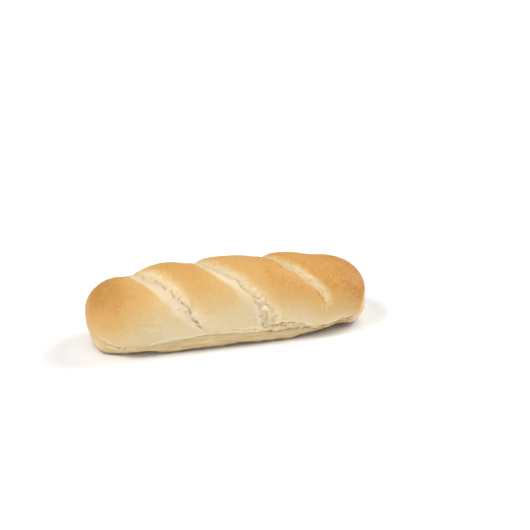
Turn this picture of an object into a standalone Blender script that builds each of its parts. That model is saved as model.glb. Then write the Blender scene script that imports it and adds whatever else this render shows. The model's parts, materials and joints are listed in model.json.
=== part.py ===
"""A hoagie roll: one soft white roll with three slanting cuts that tore open in the oven.

The roll is a single solid. Columns run round its outline, and each column's profile runs from the
crest down the side, over the seam and the heel, to the middle of the flat base. The cuts are sunk
along the surface's normals in unrolled coordinates: `along`, the distance from end to end, and
`down`, the distance over the top, minus at the front and plus at the back.
Metres, +Z up, +X along the roll, the front at -Y. The origin is the middle of the base.
"""

import math

import bmesh
import bpy
import numpy as np
from mathutils import Vector, noise

MM = 0.001

# Driving sizes of the whole roll.
LENGTH = 180 * MM
WIDTH = 61 * MM
HEIGHT = 48 * MM  # of the crest before the cuts are sunk
STRAIGHT = 60 * MM  # half the length between the round ends
WIDEST_AT = 19.5 * MM  # height of the widest line
OUTLINE_POWER = 2.22  # 2 is an ellipse, more is squarer
BARREL = 0.035  # share of width lost from the middle to where the ends begin
SIDE_TURN = math.radians(70)  # how far the lower side curls in before the seam

# The heel that sat on the tray, under the seam where the top crust overhangs it.
BASE_CORNER = 2.2 * MM
HEEL_SLANT = 0.9 * MM
HEEL_SWELL = 0.35 * MM
LIP_STANDS = 0.35 * MM  # how far the crust's rim swells above the seam
LIP_TALL = 1.6 * MM
FLAT_SHARE = 0.45  # inner share of the base that always stays flat

# Values along the roll: (distance from the middle, value). CREST is a share of HEIGHT, DOME_POWER is
# the dome's squareness, and the rest are in millimetres.
CREST = (
    (-90, 0.84), (-60, 0.885), (-36, 0.985), (-8, 1.0), (18, 0.99), (44, 0.952), (66, 0.862), (90, 0.84),
)
DOME_POWER = ((-90, 2.22), (50, 2.22), (80, 2.45))
SEAM_FRONT = (
    (-90, 7.2), (-74, 6.0), (-56, 6.2), (-40, 7.4), (-22, 9.2), (-5, 8.5), (14, 7.4), (36, 6.8), (52, 5.9),
    (64, 7.6), (76, 10.2), (90, 11.4),
)
SEAM_BACK = ((-90, 7.2), (-55, 8.4), (-15, 9.4), (25, 8.2), (60, 9.2), (90, 11.4))
TUCK_FRONT = ((-90, 3.6), (-74, 3.8), (-40, 4.6), (0, 4.6), (34, 4.8), (52, 6.4), (70, 4.4), (90, 2.0))
TUCK_BACK = ((-90, 3.6), (-50, 4.4), (0, 4.8), (50, 4.4), (90, 2.0))
UNDERCUT = ((-90, 0.2), (-62, 0.3), (-35, 0.7), (38, 0.8), (56, 1.4), (76, 1.7), (90, 0.7))
LIFT_FRONT = (
    (-90, 1.2), (-74, 0.6), (-61, 2.1), (-53, 2.0), (-45, 0.8), (-37, 0.0), (37, 0.0), (46, 1.6), (56, 2.4),
    (68, 3.1), (90, 2.8),
)
LIFT_BACK = ((-90, 1.2), (-66, 0.0), (40, 0.0), (66, 1.2), (90, 2.8))

# The three cuts. `path` is the middle of the cut as (down, along) and `half` its half width as
# (down, half width), in millimetres; `wobble` is how far the path wanders about them.
CUTS = (
    {
        "path": (
            (-54, -19.5), (-42, -27.3), (-31, -34.3), (-20, -40.7), (-7, -47.6), (3, -51.6), (14, -55.2),
            (27, -58.5),
        ),
        "half": ((-54, 1.8), (-44, 4.2), (-30, 5.0), (-14, 4.4), (0, 3.4), (27, 2.4)),
        "wobble": 0.7,
        "seed": 3.0,
    },
    {
        "path": (
            (-55, 22), (-46, 19.5), (-40, 16.6), (-29, 9.4), (-17, 0.2), (-8, -6.8), (0, -12.2), (10, -15.8),
            (20, -18.2), (34, -21),
        ),
        "half": ((-55, 6.4), (-45, 6.6), (-36, 5.4), (-24, 5.0), (-8, 5.0), (8, 3.8), (34, 2.4)),
        "wobble": 0.8,
        "seed": 7.0,
    },
    {
        "path": ((-39, 56.6), (-30, 52), (-17, 42.2), (-9, 36.6), (0, 31), (10, 27.7), (20, 25.8), (41, 22)),
        "half": ((-39, 1.8), (-31, 3.6), (-16, 4.6), (0, 3.4), (20, 3.4), (41, 2.2)),
        "wobble": 0.6,
        "seed": 11.0,
    },
)
WANDER_SIZE = 9 * MM
ACROSS = 0.82  # distance square to a cut, as a share of the distance along the roll
VALLEY_DEEP = 2.5 * MM  # how far the crust dips between two swollen lobes
VALLEY_HALF = 7.5 * MM
TRENCH_DEEP = 1.6 * MM  # the torn strip, below the valley
STRIP_STARTS, CREASE_AT, STRIP_ENDS = -1.15, -0.42, 1.1  # across the strip, in half widths from its middle
END_FADE = 6 * MM
CRAG_TALL = 1.0 * MM
CRAG_SIZE = 4.2 * MM

# The side tore open too, between the second cut's foot and the seam.
TEAR_TOP = ((18, 8.0), (23, 13.2), (29, 14.6), (36, 13.8), (43, 11.6), (50, 7.0))  # upper edge's height
TEAR_DEEP = 1.5 * MM
TEAR_EDGE = 1.4 * MM
TEAR_CRAG_SIZE = 3.2 * MM

# Slow unevenness of the whole loaf.
LUMP_TALL = 0.55 * MM
LUMP_SIZE = 24 * MM

# How finely the surface is divided.
STRAIGHT_STEPS = 60
END_STEPS = 30
DOME_STEPS = 20
SIDE_STEPS = 4
HEEL_STEPS = 2
CORNER_STEPS = 2
BASE_STEPS = 2
SAME_PLACE = 0.001 * MM
MERGE_WITHIN = 0.02 * MM


def smooth_between(low, high, value):
    """0 below `low`, 1 above `high`, and an even rise between them."""
    share = min(max((value - low) / (high - low), 0.0), 1.0)
    return share * share * (3 - 2 * share)


def curve_through(knots, value):
    """A smooth curve through (place, value) pairs that never overshoots them, level beyond its ends."""
    place, height = np.array(knots, float).T
    rise = np.diff(height) / np.diff(place)
    slope = np.zeros(len(place))
    for i in range(1, len(place) - 1):
        if rise[i - 1] * rise[i] > 0:
            slope[i] = 2 / (1 / rise[i - 1] + 1 / rise[i])
    value = min(max(value, place[0]), place[-1])
    i = min(max(int(np.searchsorted(place, value)) - 1, 0), len(place) - 2)
    step = place[i + 1] - place[i]
    t = (value - place[i]) / step
    return float(
        (2 * t**3 - 3 * t**2 + 1) * height[i]
        + (t**3 - 2 * t**2 + t) * step * slope[i]
        + (3 * t**2 - 2 * t**3) * height[i + 1]
        + (t**3 - t**2) * step * slope[i + 1]
    )


def columns():
    """(place along the spine, direction in plan) of each column, once round the roll from its front."""
    found = []
    for i in range(STRAIGHT_STEPS):
        found.append((-STRAIGHT + 2 * STRAIGHT * i / STRAIGHT_STEPS, -math.pi / 2))
    for i in range(END_STEPS):
        found.append((STRAIGHT, -math.pi / 2 + math.pi * i / END_STEPS))
    for i in range(STRAIGHT_STEPS):
        found.append((STRAIGHT - 2 * STRAIGHT * i / STRAIGHT_STEPS, math.pi / 2))
    for i in range(END_STEPS):
        found.append((-STRAIGHT, math.pi / 2 + math.pi * i / END_STEPS))
    return found


def reach(spine, direction):
    """Distance from the spine to the widest line."""
    half = WIDTH / 2 * (1 - BARREL * (spine / STRAIGHT) ** 2)
    across = abs(math.sin(direction)) / half
    onward = abs(math.cos(direction)) / (LENGTH / 2 - STRAIGHT)
    return (across**OUTLINE_POWER + onward**OUTLINE_POWER) ** (-1 / OUTLINE_POWER)


def at_side(front, back, direction, x):
    """A value in metres from the front's or the back's knots, which agree at the tips."""
    return curve_through(front if math.sin(direction) < 0 else back, x / MM) * MM


def dome(spine, direction, out):
    """(distance from the spine, height) from the crest to the widest line."""
    power = curve_through(DOME_POWER, (spine + out * math.cos(direction)) / MM)
    points = []
    for i in range(DOME_STEPS + 1):
        turn = math.pi / 2 * i / DOME_STEPS
        away = out * math.sin(turn) ** (2 / power)
        top = HEIGHT * curve_through(CREST, (spine + away * math.cos(direction)) / MM)
        rise = max(math.cos(turn), 0) ** (2 / power)
        points.append((away, WIDEST_AT + (top - WIDEST_AT) * rise))
    return points


def profile(spine, direction):
    """(distance from the spine, height) from the crest to the middle of the base."""
    out = reach(spine, direction)
    tip = spine + out * math.cos(direction)
    seam = at_side(SEAM_FRONT, SEAM_BACK, direction, tip)
    tuck = at_side(TUCK_FRONT, TUCK_BACK, direction, tip)
    lift = at_side(LIFT_FRONT, LIFT_BACK, direction, tip)
    points = dome(spine, direction, out)
    side_tall = WIDEST_AT - seam - LIP_TALL
    for i in range(1, SIDE_STEPS + 1):
        turn = SIDE_TURN * i / SIDE_STEPS
        inward = tuck * (1 - math.cos(turn)) / (1 - math.cos(SIDE_TURN))
        points.append((out - inward, WIDEST_AT - side_tall * math.sin(turn) / math.sin(SIDE_TURN)))
    edge = out - tuck
    points.append((edge + LIP_STANDS / 2, seam + LIP_TALL / 3))
    heel_top = edge - curve_through(UNDERCUT, tip / MM) * MM
    heel_foot = heel_top - HEEL_SLANT
    corner = lift + BASE_CORNER
    for i in range(HEEL_STEPS + 1):
        share = i / HEEL_STEPS
        swell = HEEL_SWELL * math.sin(math.pi * share)
        points.append((heel_top + (heel_foot - heel_top) * share + swell, seam + (corner - seam) * share))
    for i in range(1, CORNER_STEPS + 1):
        turn = math.pi / 2 * i / CORNER_STEPS
        inward = BASE_CORNER * (1 - math.cos(turn))
        points.append((heel_foot - inward, corner - BASE_CORNER * math.sin(turn)))
    foot = heel_foot - BASE_CORNER
    for i in range(1, BASE_STEPS + 1):
        share = 1 - i / BASE_STEPS
        points.append((foot * share, lift * smooth_between(FLAT_SHARE, 1, share)))
    return np.array(points)


def cut_relief(cut, along, down, place):
    """How far one cut moves the crust at a point: down in its valley and its torn strip, up on crags."""
    front, back = cut["path"][0][0] * MM, cut["path"][-1][0] * MM
    fade = smooth_between(front, front + END_FADE, down)
    fade *= 1 - smooth_between(back - END_FADE, back, down)
    if fade <= 0:
        return 0.0
    wander = cut["wobble"] * MM * noise.noise(Vector((down / WANDER_SIZE, cut["seed"], 0)))
    middle = curve_through(cut["path"], down / MM) * MM + wander
    across = (along - middle) * ACROSS
    share = across / (curve_through(cut["half"], down / MM) * MM)
    torn = fade * smooth_between(STRIP_STARTS, CREASE_AT, share)
    torn *= 1 - smooth_between(CREASE_AT, STRIP_ENDS, share)
    crag = noise.noise(place / CRAG_SIZE + Vector((0, 0, cut["seed"])))
    valley = VALLEY_DEEP * fade * math.exp(-((across / VALLEY_HALF) ** 2))
    return CRAG_TALL * crag * math.sqrt(torn) - TRENCH_DEEP * torn - valley


def tear_relief(place):
    """How far the torn patch beside the second cut's foot is sunk under the crust's edge."""
    x, y, height = place
    if y >= 0 or not TEAR_TOP[0][0] * MM < x < TEAR_TOP[-1][0] * MM:
        return 0.0
    top = curve_through(TEAR_TOP, x / MM) * MM
    seam = curve_through(SEAM_FRONT, x / MM) * MM
    inside = smooth_between(seam, seam + TEAR_EDGE, height)
    inside *= 1 - smooth_between(top - TEAR_EDGE, top, height)
    return inside * (CRAG_TALL * noise.noise(place / TEAR_CRAG_SIZE) - TEAR_DEEP)


def shared_normals(points, faces):
    """The normal at each point, the same for points in one place, as where columns meet at the crest."""
    near = {}
    total = [Vector((0, 0, 0)) for _ in points]
    for n, point in enumerate(points):
        near.setdefault(tuple(round(value / SAME_PLACE) for value in point), []).append(n)
    for face in faces:
        corners = [Vector(points[n]) for n in face]
        facing = (corners[2] - corners[0]).cross(corners[3] - corners[1])
        for n in face:
            total[n] += facing
    normals = [None] * len(points)
    for group in near.values():
        normal = sum((total[n] for n in group), Vector((0, 0, 0))).normalized()
        for n in group:
            normals[n] = normal
    return normals


def roll_mesh():
    """The roll as a mesh with its cuts, tear and slow lumps. Its columns meet but aren't joined yet."""
    around = columns()
    profiles = [profile(spine, direction) for spine, direction in around]
    rows = len(profiles[0])
    points, unrolled = [], []
    for (spine, direction), line in zip(around, profiles):
        steps = np.linalg.norm(np.diff(line, axis=0), axis=1)
        travel = np.concatenate([[0], np.cumsum(steps)])
        for (away, height), run in zip(line, travel):
            points.append((spine + away * math.cos(direction), away * math.sin(direction), height))
            unrolled.append((spine + run * math.cos(direction), run * math.sin(direction)))
    faces = []
    for i in range(len(around)):
        here, there = i * rows, (i + 1) % len(around) * rows
        for k in range(rows - 1):
            faces.append((here + k, here + k + 1, there + k + 1, there + k))
    normals = shared_normals(points, faces)
    heel_foot_row = rows - 1 - BASE_STEPS - CORNER_STEPS
    raised = []
    for n, point in enumerate(points):
        place = Vector(point)
        if n % rows <= heel_foot_row:
            along, down = unrolled[n]
            moved = LUMP_TALL * noise.noise(place / LUMP_SIZE) * smooth_between(0, WIDEST_AT, place.z)
            moved += sum(cut_relief(cut, along, down, place) for cut in CUTS) + tear_relief(place)
            place += normals[n] * moved
        raised.append(place)
    mesh = bpy.data.meshes.new("roll")
    mesh.from_pydata(raised, [], faces)
    return mesh


def join_and_centre(mesh):
    """Joins the columns where they meet, faces the surface outwards and stands it on the origin."""
    shape = bmesh.new()
    shape.from_mesh(mesh)
    bmesh.ops.remove_doubles(shape, verts=shape.verts, dist=MERGE_WITHIN)
    bmesh.ops.recalc_face_normals(shape, faces=shape.faces)
    low = [min(vertex.co[i] for vertex in shape.verts) for i in range(3)]
    high = [max(vertex.co[i] for vertex in shape.verts) for i in range(3)]
    to_origin = Vector((-(low[0] + high[0]) / 2, -(low[1] + high[1]) / 2, -low[2]))
    bmesh.ops.translate(shape, verts=shape.verts, vec=to_origin)
    shape.to_mesh(mesh)
    shape.free()


def crust_material():
    material = bpy.data.materials.new("baked_crust")
    material.use_nodes = True
    shader = material.node_tree.nodes["Principled BSDF"]
    shader.inputs["Base Color"].default_value = (0.72, 0.47, 0.21, 1)
    shader.inputs["Roughness"].default_value = 0.6
    return material


def build():
    for old in list(bpy.data.objects):
        bpy.data.objects.remove(old)
    mesh = roll_mesh()
    join_and_centre(mesh)
    mesh.shade_smooth()
    mesh.materials.append(crust_material())
    bpy.context.scene.collection.objects.link(bpy.data.objects.new("roll", mesh))


build()
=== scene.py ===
# A hoagie roll on a white table: one soft wheat roll with three slanting cuts that tore open in the oven.
# The roll is a single closed mesh. Its form follows the CAD solid, with the crumb, cracks, blisters and
# pores added on top, and it is divided finely where the dough tore and coarsely where the crust is smooth.
import json
import math
from functools import partial

import bpy
import numpy as np
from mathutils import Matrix, Quaternion, Vector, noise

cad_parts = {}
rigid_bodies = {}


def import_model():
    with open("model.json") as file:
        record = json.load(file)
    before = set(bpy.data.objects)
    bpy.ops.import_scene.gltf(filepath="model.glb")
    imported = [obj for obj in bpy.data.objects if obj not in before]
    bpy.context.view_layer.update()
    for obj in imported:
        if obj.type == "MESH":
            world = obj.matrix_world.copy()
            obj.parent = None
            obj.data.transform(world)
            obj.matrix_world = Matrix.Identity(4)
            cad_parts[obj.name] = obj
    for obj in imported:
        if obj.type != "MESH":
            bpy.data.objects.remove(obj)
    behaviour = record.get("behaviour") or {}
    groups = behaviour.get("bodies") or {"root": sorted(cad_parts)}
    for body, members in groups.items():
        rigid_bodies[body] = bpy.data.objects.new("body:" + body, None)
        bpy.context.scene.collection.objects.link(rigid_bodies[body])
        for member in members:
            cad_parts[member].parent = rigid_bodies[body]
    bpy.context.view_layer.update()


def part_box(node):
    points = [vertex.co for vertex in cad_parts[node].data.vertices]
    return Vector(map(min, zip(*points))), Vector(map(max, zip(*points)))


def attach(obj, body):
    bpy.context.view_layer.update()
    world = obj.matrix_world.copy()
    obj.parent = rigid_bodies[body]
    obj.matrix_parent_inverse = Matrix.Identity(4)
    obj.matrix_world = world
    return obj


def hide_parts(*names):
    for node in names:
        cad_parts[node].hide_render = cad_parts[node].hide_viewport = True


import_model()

mm = 0.001

# The loaf's whole form. The lists go along the roll, as (place, value). They are in millimetres, apart from
# the values of `crest` and `domePower`.
loaf = {
    "length": 180 * mm, "width": 61 * mm,
    "height": 48 * mm,  # of the crest before the cuts are sunk
    "straight": 60 * mm,  # half the length between the round ends
    "widestAt": 19.5 * mm, "outlinePower": 2.22, "barrel": 0.035, "sideTurn": math.radians(70),
    "cornerFront": ((-90, 1.8), (-72, 1.5), (-55, 0.9), (58, 0.9), (68, 2.2), (76, 3), (84, 2.8), (90, 2)),
    "cornerBack": ((-90, 1.8), (-72, 1.5), (-55, 0.9), (60, 0.9), (90, 2)),
    "slantFront": (
        (-90, 0.9), (-84, 2.1), (-78, 3.7), (-70, 3.7), (-60, 1), (-50, 0.55), (50, 0.55), (62, 3.2),
        (70, 5.8), (76, 6.2), (83, 3.2), (90, 2),
    ),
    "slantBack": ((-90, 0.9), (62, 0.9), (90, 2)),
    "heelSwell": 0.35 * mm, "lipTall": 1.6 * mm,
    # the rounded lip at the seam, as (beyond the edge, above the seam)
    "lip": ((0.26, 1.02), (0.36, 0.55), (0.16, 0.1)),
    "flatShare": 0.45, "lumpTall": 0.55 * mm, "lumpSize": 24 * mm,
    "crest": (
        (-90, 0.836), (-60, 0.884), (-36, 0.985), (-8, 1), (18, 0.99), (44, 0.952), (66, 0.857), (90, 0.84),
    ),
    "domePower": ((-90, 2.24), (-76, 2.3), (-50, 2.22), (50, 2.22), (80, 2.55)),
    "seamFront": (
        (-90, 7.2), (-74, 6), (-56, 6.2), (-40, 7.4), (-22, 9.2), (-5, 8.5), (14, 7.4), (36, 6.8),
        (52, 5.9), (58, 6.2), (61, 7.3), (65, 8.5), (68, 9.9), (72, 10.3), (78, 10.5), (90, 10.2),
    ),
    "seamBack": ((-90, 7.2), (-55, 8.4), (-15, 9.4), (25, 8.2), (60, 9.2), (90, 10.2)),
    "tuckFront": (
        (-90, 2.6), (-86, 1.9), (-80, 2.7), (-74, 3.3), (-66, 3.5), (-40, 4.6), (0, 4.6), (34, 4.8),
        (52, 6.2), (60, 5.3), (70, 3.7), (78, 2.4), (90, 0.7),
    ),
    "tuckBack": ((-90, 2.6), (-80, 2.9), (-50, 4.4), (0, 4.8), (50, 4.4), (90, 0.7)),
    "undercutFront": (
        (-90, 0.2), (-62, 0.4), (-35, 0.9), (38, 1), (52, 1.8), (60, 2.4), (70, 2.2), (76, 1.3), (81, 0.7),
        (90, 0.7),
    ),
    "undercutBack": ((-90, 0.2), (-62, 0.4), (-35, 0.9), (50, 0.9), (90, 0.7)),
    "liftFront": (
        (-90, 0.8), (-80, 0.7), (-74, 0.9), (-68, 1.4), (-61, 2.7), (-58, 2.8), (-55, 2.6), (-48, 1.3),
        (-45, 0.6), (-42, 0.3), (-36, 0.3), (-29, 0.65), (-26, 1.1), (-23, 0.7), (-19, 0.95), (-17, 1.3),
        (-14, 0.8), (-7, 0.8), (-4, 1.4), (2, 1.5), (9, 0.9), (22, 0.7), (35, 0.3), (39, 0.7), (42, 1.5),
        (46, 1.9), (50, 1.7), (56, 1.7), (62, 2), (66, 2.3), (71, 2.6), (75, 2.7), (79, 2.6), (90, 1.8),
    ),
    "liftBack": ((-90, 0.8), (-66, 0), (40, 0), (66, 0.5), (90, 1.8)),
}

# The three cuts, from the left. `path` is the middle and `half` its half width; `crack` is the deepest line,
# `skin` where the smooth stretched flank on its left begins, and `crumbEnd` where the torn strip on its right
# ends. Places are (down, along), where down is the distance over the top, minus at the front. Lengths are in
# millimetres.
firstCut = {
    "path": (
        (-54, -19.5), (-42, -27.3), (-31, -34.3), (-20, -40.7), (-7, -47.6), (3, -51.6), (14, -55.2),
        (27, -58.5),
    ),
    "half": ((-54, 1.8), (-44, 4.2), (-30, 5), (-14, 4.4), (0, 3.4), (27, 1.6)),
    "crack": (
        (-53, -19.8), (-51.7, -21.3), (-49.1, -23.8), (-45.6, -25.5), (-43.4, -28.2), (-39.2, -29.6),
        (-34.1, -31.3), (-30.7, -34.9), (-25.2, -38.8), (-19.5, -41.9), (-12.8, -46.2), (-7.3, -48.3),
        (-1.5, -51.1), (5.7, -53.6), (27, -59.6),
    ),
    "skin": (
        (-49.2, -26.3), (-42.9, -31.6), (-38, -35.9), (-34, -39.3), (-30.3, -42.7), (-26.4, -45.9),
        (-19.5, -49.8), (-15.3, -52.2), (-10.1, -54.4), (-1.8, -58), (8, -60.4), (17, -61.3), (27, -60.5),
    ),
    "crumbEnd": (
        (-51.7, -19.5), (-46.1, -22.3), (-41.4, -24.8), (-37.8, -27), (-34, -29.2), (-29.9, -30.7),
        (-26.1, -33.2), (-22, -35.8), (-18.5, -36.8), (-15.3, -38.6), (-6.8, -43.4), (-1.3, -45.9),
        (6.2, -49.9), (16, -54.6), (27, -58.9),
    ),
    "skinSoft": ((-50, 3), (-30, 2.2), (-18, 1.5), (27, 1.3)),
    "edgeSoft": 3.2, "goldAtEdge": 0.62, "goldReach": 5.5, "crumbFades": 0.5,
    "lumps": ((-50, 0.8), (-22, 0.9), (-10, 0.5), (27, 0.4)),
    "crumbShare": ((-50, 0.9), (-10, 1), (8, 0.9), (22, 0.3), (27, 0.1)),
    "flankShare": ((-50, 0.35), (-36, 0.7), (-22, 1), (4, 0.9), (22, 0.35), (27, 0.1)),
    "patchy": 1.5, "wobble": 0.7, "seed": 3,
}
secondCut = {
    "path": (
        (-55, 22), (-46, 19.5), (-40, 16.6), (-29, 9.4), (-17, 0.2), (-8, -6.8), (0, -12.2), (10, -15.8),
        (20, -18.2), (34, -21),
    ),
    "half": ((-55, 6.4), (-45, 6.6), (-36, 5.4), (-24, 5), (-8, 5), (8, 3.8), (34, 1.6)),
    "crack": (
        (-55, 17.8), (-51.9, 15.2), (-49.1, 14.4), (-43.8, 12.5), (-39.8, 12.2), (-36.7, 11.5),
        (-34.9, 10.4), (-31.8, 9.4), (-29.2, 7.7), (-27, 4.8), (-23.2, 2.3), (-20.5, 1.7), (-18, -1),
        (-16, -5.2), (-13, -9), (-8.7, -13.1), (2, -16), (20, -19.6), (34, -22),
    ),
    "skin": (
        (-50.5, 6.6), (-43.2, 4.6), (-36.7, 3.2), (-32.4, 2.2), (-28.4, 0.5), (-25.6, -1.3), (-22.6, -3.7),
        (-20.4, -6), (-17.9, -8.7), (-14.8, -11.4), (-11, -13.7), (-7.1, -15.9), (-0.5, -18.3), (10, -20.5),
        (22, -22.4), (34, -22.6),
    ),
    "crumbEnd": (
        (-55, 26.3), (-50, 25.8), (-44.5, 24.8), (-40.8, 22.3), (-36.9, 18.7), (-33.2, 16), (-29, 13.3),
        (-25.6, 10.6), (-22.2, 8), (-18.6, 6.5), (-15.5, 4), (-12.6, 1.5), (-6.9, -3.5), (-0.4, -8.3),
        (8, -12.6), (20, -16.2), (34, -21.2),
    ),
    "skinSoft": ((-50, 5.5), (-36, 4.5), (-25, 2.8), (-14, 1.5), (34, 1.3)),
    "edgeSoft": 3.2, "goldAtEdge": 0.7, "goldReach": 5, "crumbFades": 0.5,
    "lumps": ((-50, 0.9), (-30, 0.9), (-20, 0.6), (-10, 0.3), (34, 0.3)),
    "crumbShare": ((-50, 1), (-10, 1), (4, 0.8), (24, 0.3), (34, 0.1)),
    "flankShare": (
        (-50, 0.15), (-38, 0.38), (-28, 0.72), (-20, 1), (-12, 0.85), (0, 0.6), (24, 0.3), (34, 0.1),
    ),
    "patchy": 1.2, "wobble": 0.8, "seed": 7,
}
thirdCut = {
    "path": ((-39, 56.6), (-30, 52), (-17, 42.2), (-9, 36.6), (0, 31), (10, 27.7), (20, 25.8), (41, 22)),
    "half": ((-39, 1.8), (-31, 3.6), (-16, 4.6), (0, 3.4), (20, 3.4), (41, 2.2)),
    "crack": (
        (-39, 57), (-36.4, 56), (-33.1, 54.4), (-28.8, 51.2), (-24.6, 47.6), (-19.1, 43.3), (-15.1, 40.9),
        (-9, 35.8), (-4, 33.9), (5.2, 29.7), (11.5, 27.3), (26, 23.4), (41, 19.9),
    ),
    "skin": (
        (-39, 56.4), (-36.4, 55.5), (-33.1, 54), (-28.8, 50.8), (-24.6, 47.2), (-19.1, 42.9), (-15.1, 40.5),
        (-9, 35.4), (-4, 33.5), (5.2, 29.3), (11.5, 26.9), (26, 23), (41, 19.5),
    ),
    "crumbEnd": (
        (-39, 56.9), (-35.7, 57.8), (-32.9, 58.6), (-30.3, 58.1), (-27.6, 57), (-25.6, 55.1), (-22.8, 52.6),
        (-20.3, 50.9), (-17.7, 48.8), (-12.6, 45.4), (-9.2, 42.4), (-4.9, 38.4), (-0.2, 34.3), (7.9, 30.1),
        (20, 27.1), (41, 23.7),
    ),
    "skinSoft": ((-39, 0.8), (-20, 0.5), (41, 0.6)),
    "edgeSoft": 0.8, "goldAtEdge": 0.68, "goldReach": 3.2, "crumbFades": 0.35,
    "lumps": ((-39, 0.35), (41, 0.25)),
    "crumbShare": (
        (-39, 0.15), (-33, 0.4), (-28, 0.65), (-22, 0.95), (-9, 1), (-3, 0.6), (4, 0.25), (26, 0.15),
        (41, 0),
    ),
    "flankShare": ((-39, 0.3), (16, 0.3), (41, 0)),
    "patchy": 1.9, "wobble": 0.6, "seed": 11,
}
cuts = (firstCut, secondCut, thirdCut)

# What the cuts share: the valley around each, the trench and crags of its torn strip, and the lumps of crumb.
torn = {
    "wanderSize": 9 * mm, "wanderSteps": 400,
    "across": 0.82,  # distance square to a cut, as a share of the distance along the roll
    "frontShare": 0.5,  # of the depth of the valley and trench, low on the front
    "deepens": (-34 * mm, -8 * mm),
    "valleyDeep": 2.5 * mm, "valleyHalf": 7.5 * mm,
    "backAside": 3.6 * mm, "turnsAside": (-14 * mm, 6 * mm),  # the valley leaves the cut over the back
    "trenchDeep": 1.2 * mm, "stripStarts": -1.15, "creaseAt": -0.2, "stripEnds": 1.6, "endFade": 6 * mm,
    "backTail": 9 * mm, "cragTall": 0.6 * mm, "cragSize": 4.2 * mm, "lumpReach": 2.6 * mm, "lumpFar": 0.3,
}

# The torn patch beside the second cut's foot. `top` is its upper edge in millimetres, along the roll.
tear = {
    "top": ((16, 5), (19, 11), (23, 13), (29, 14.2), (36, 13.6), (43, 11.6), (50, 7)),
    "deep": 0.7 * mm, "edge": 1.0 * mm, "edgeWander": 1.6 * mm, "cragTall": 1.0 * mm,
    "cragSize": 2.6 * mm, "crumb": 0.75, "lump": 0.6,
}

# The crumbly band that tore just above the seam, along the front. `top` is its height in millimetres.
band = {
    "top": (
        (-60, 0), (-46, 1.2), (-30, 1.3), (-24, 2.2), (-8, 2.7), (15, 2.5), (22, 0), (50, 0), (54, 2.4),
        (62, 0.9), (80, 0.5),
    ),
    "wander": 0.5, "below": 0.2 * mm, "solid": 0.7, "edge": 0.3 * mm, "least": 0.1 * mm, "crumb": 0.8,
    "lump": 0.3, "fineAbove": 0.6, "fineTo": 66 * mm,
}

# The pale torn rim that climbs round the right end. `top` is its height in millimetres, along the roll.
paleRim = {
    "top": ((68, 10.2), (73.7, 12.4), (78, 13.4), (81, 15.2), (82.4, 18.4), (84, 21.4), (87, 25), (90, 27)),
    "wander": 2.4 * mm, "slowWander": 1.5 * mm, "slowSize": 11 * mm, "edge": (-3.2 * mm, 2.6 * mm),
    "broken": {"size": 2.2 * mm, "seed": 24, "middle": 1.0, "reach": 0.9, "low": 0, "high": 1},
    "crumb": 0.75, "lump": 0.35,
}

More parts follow.
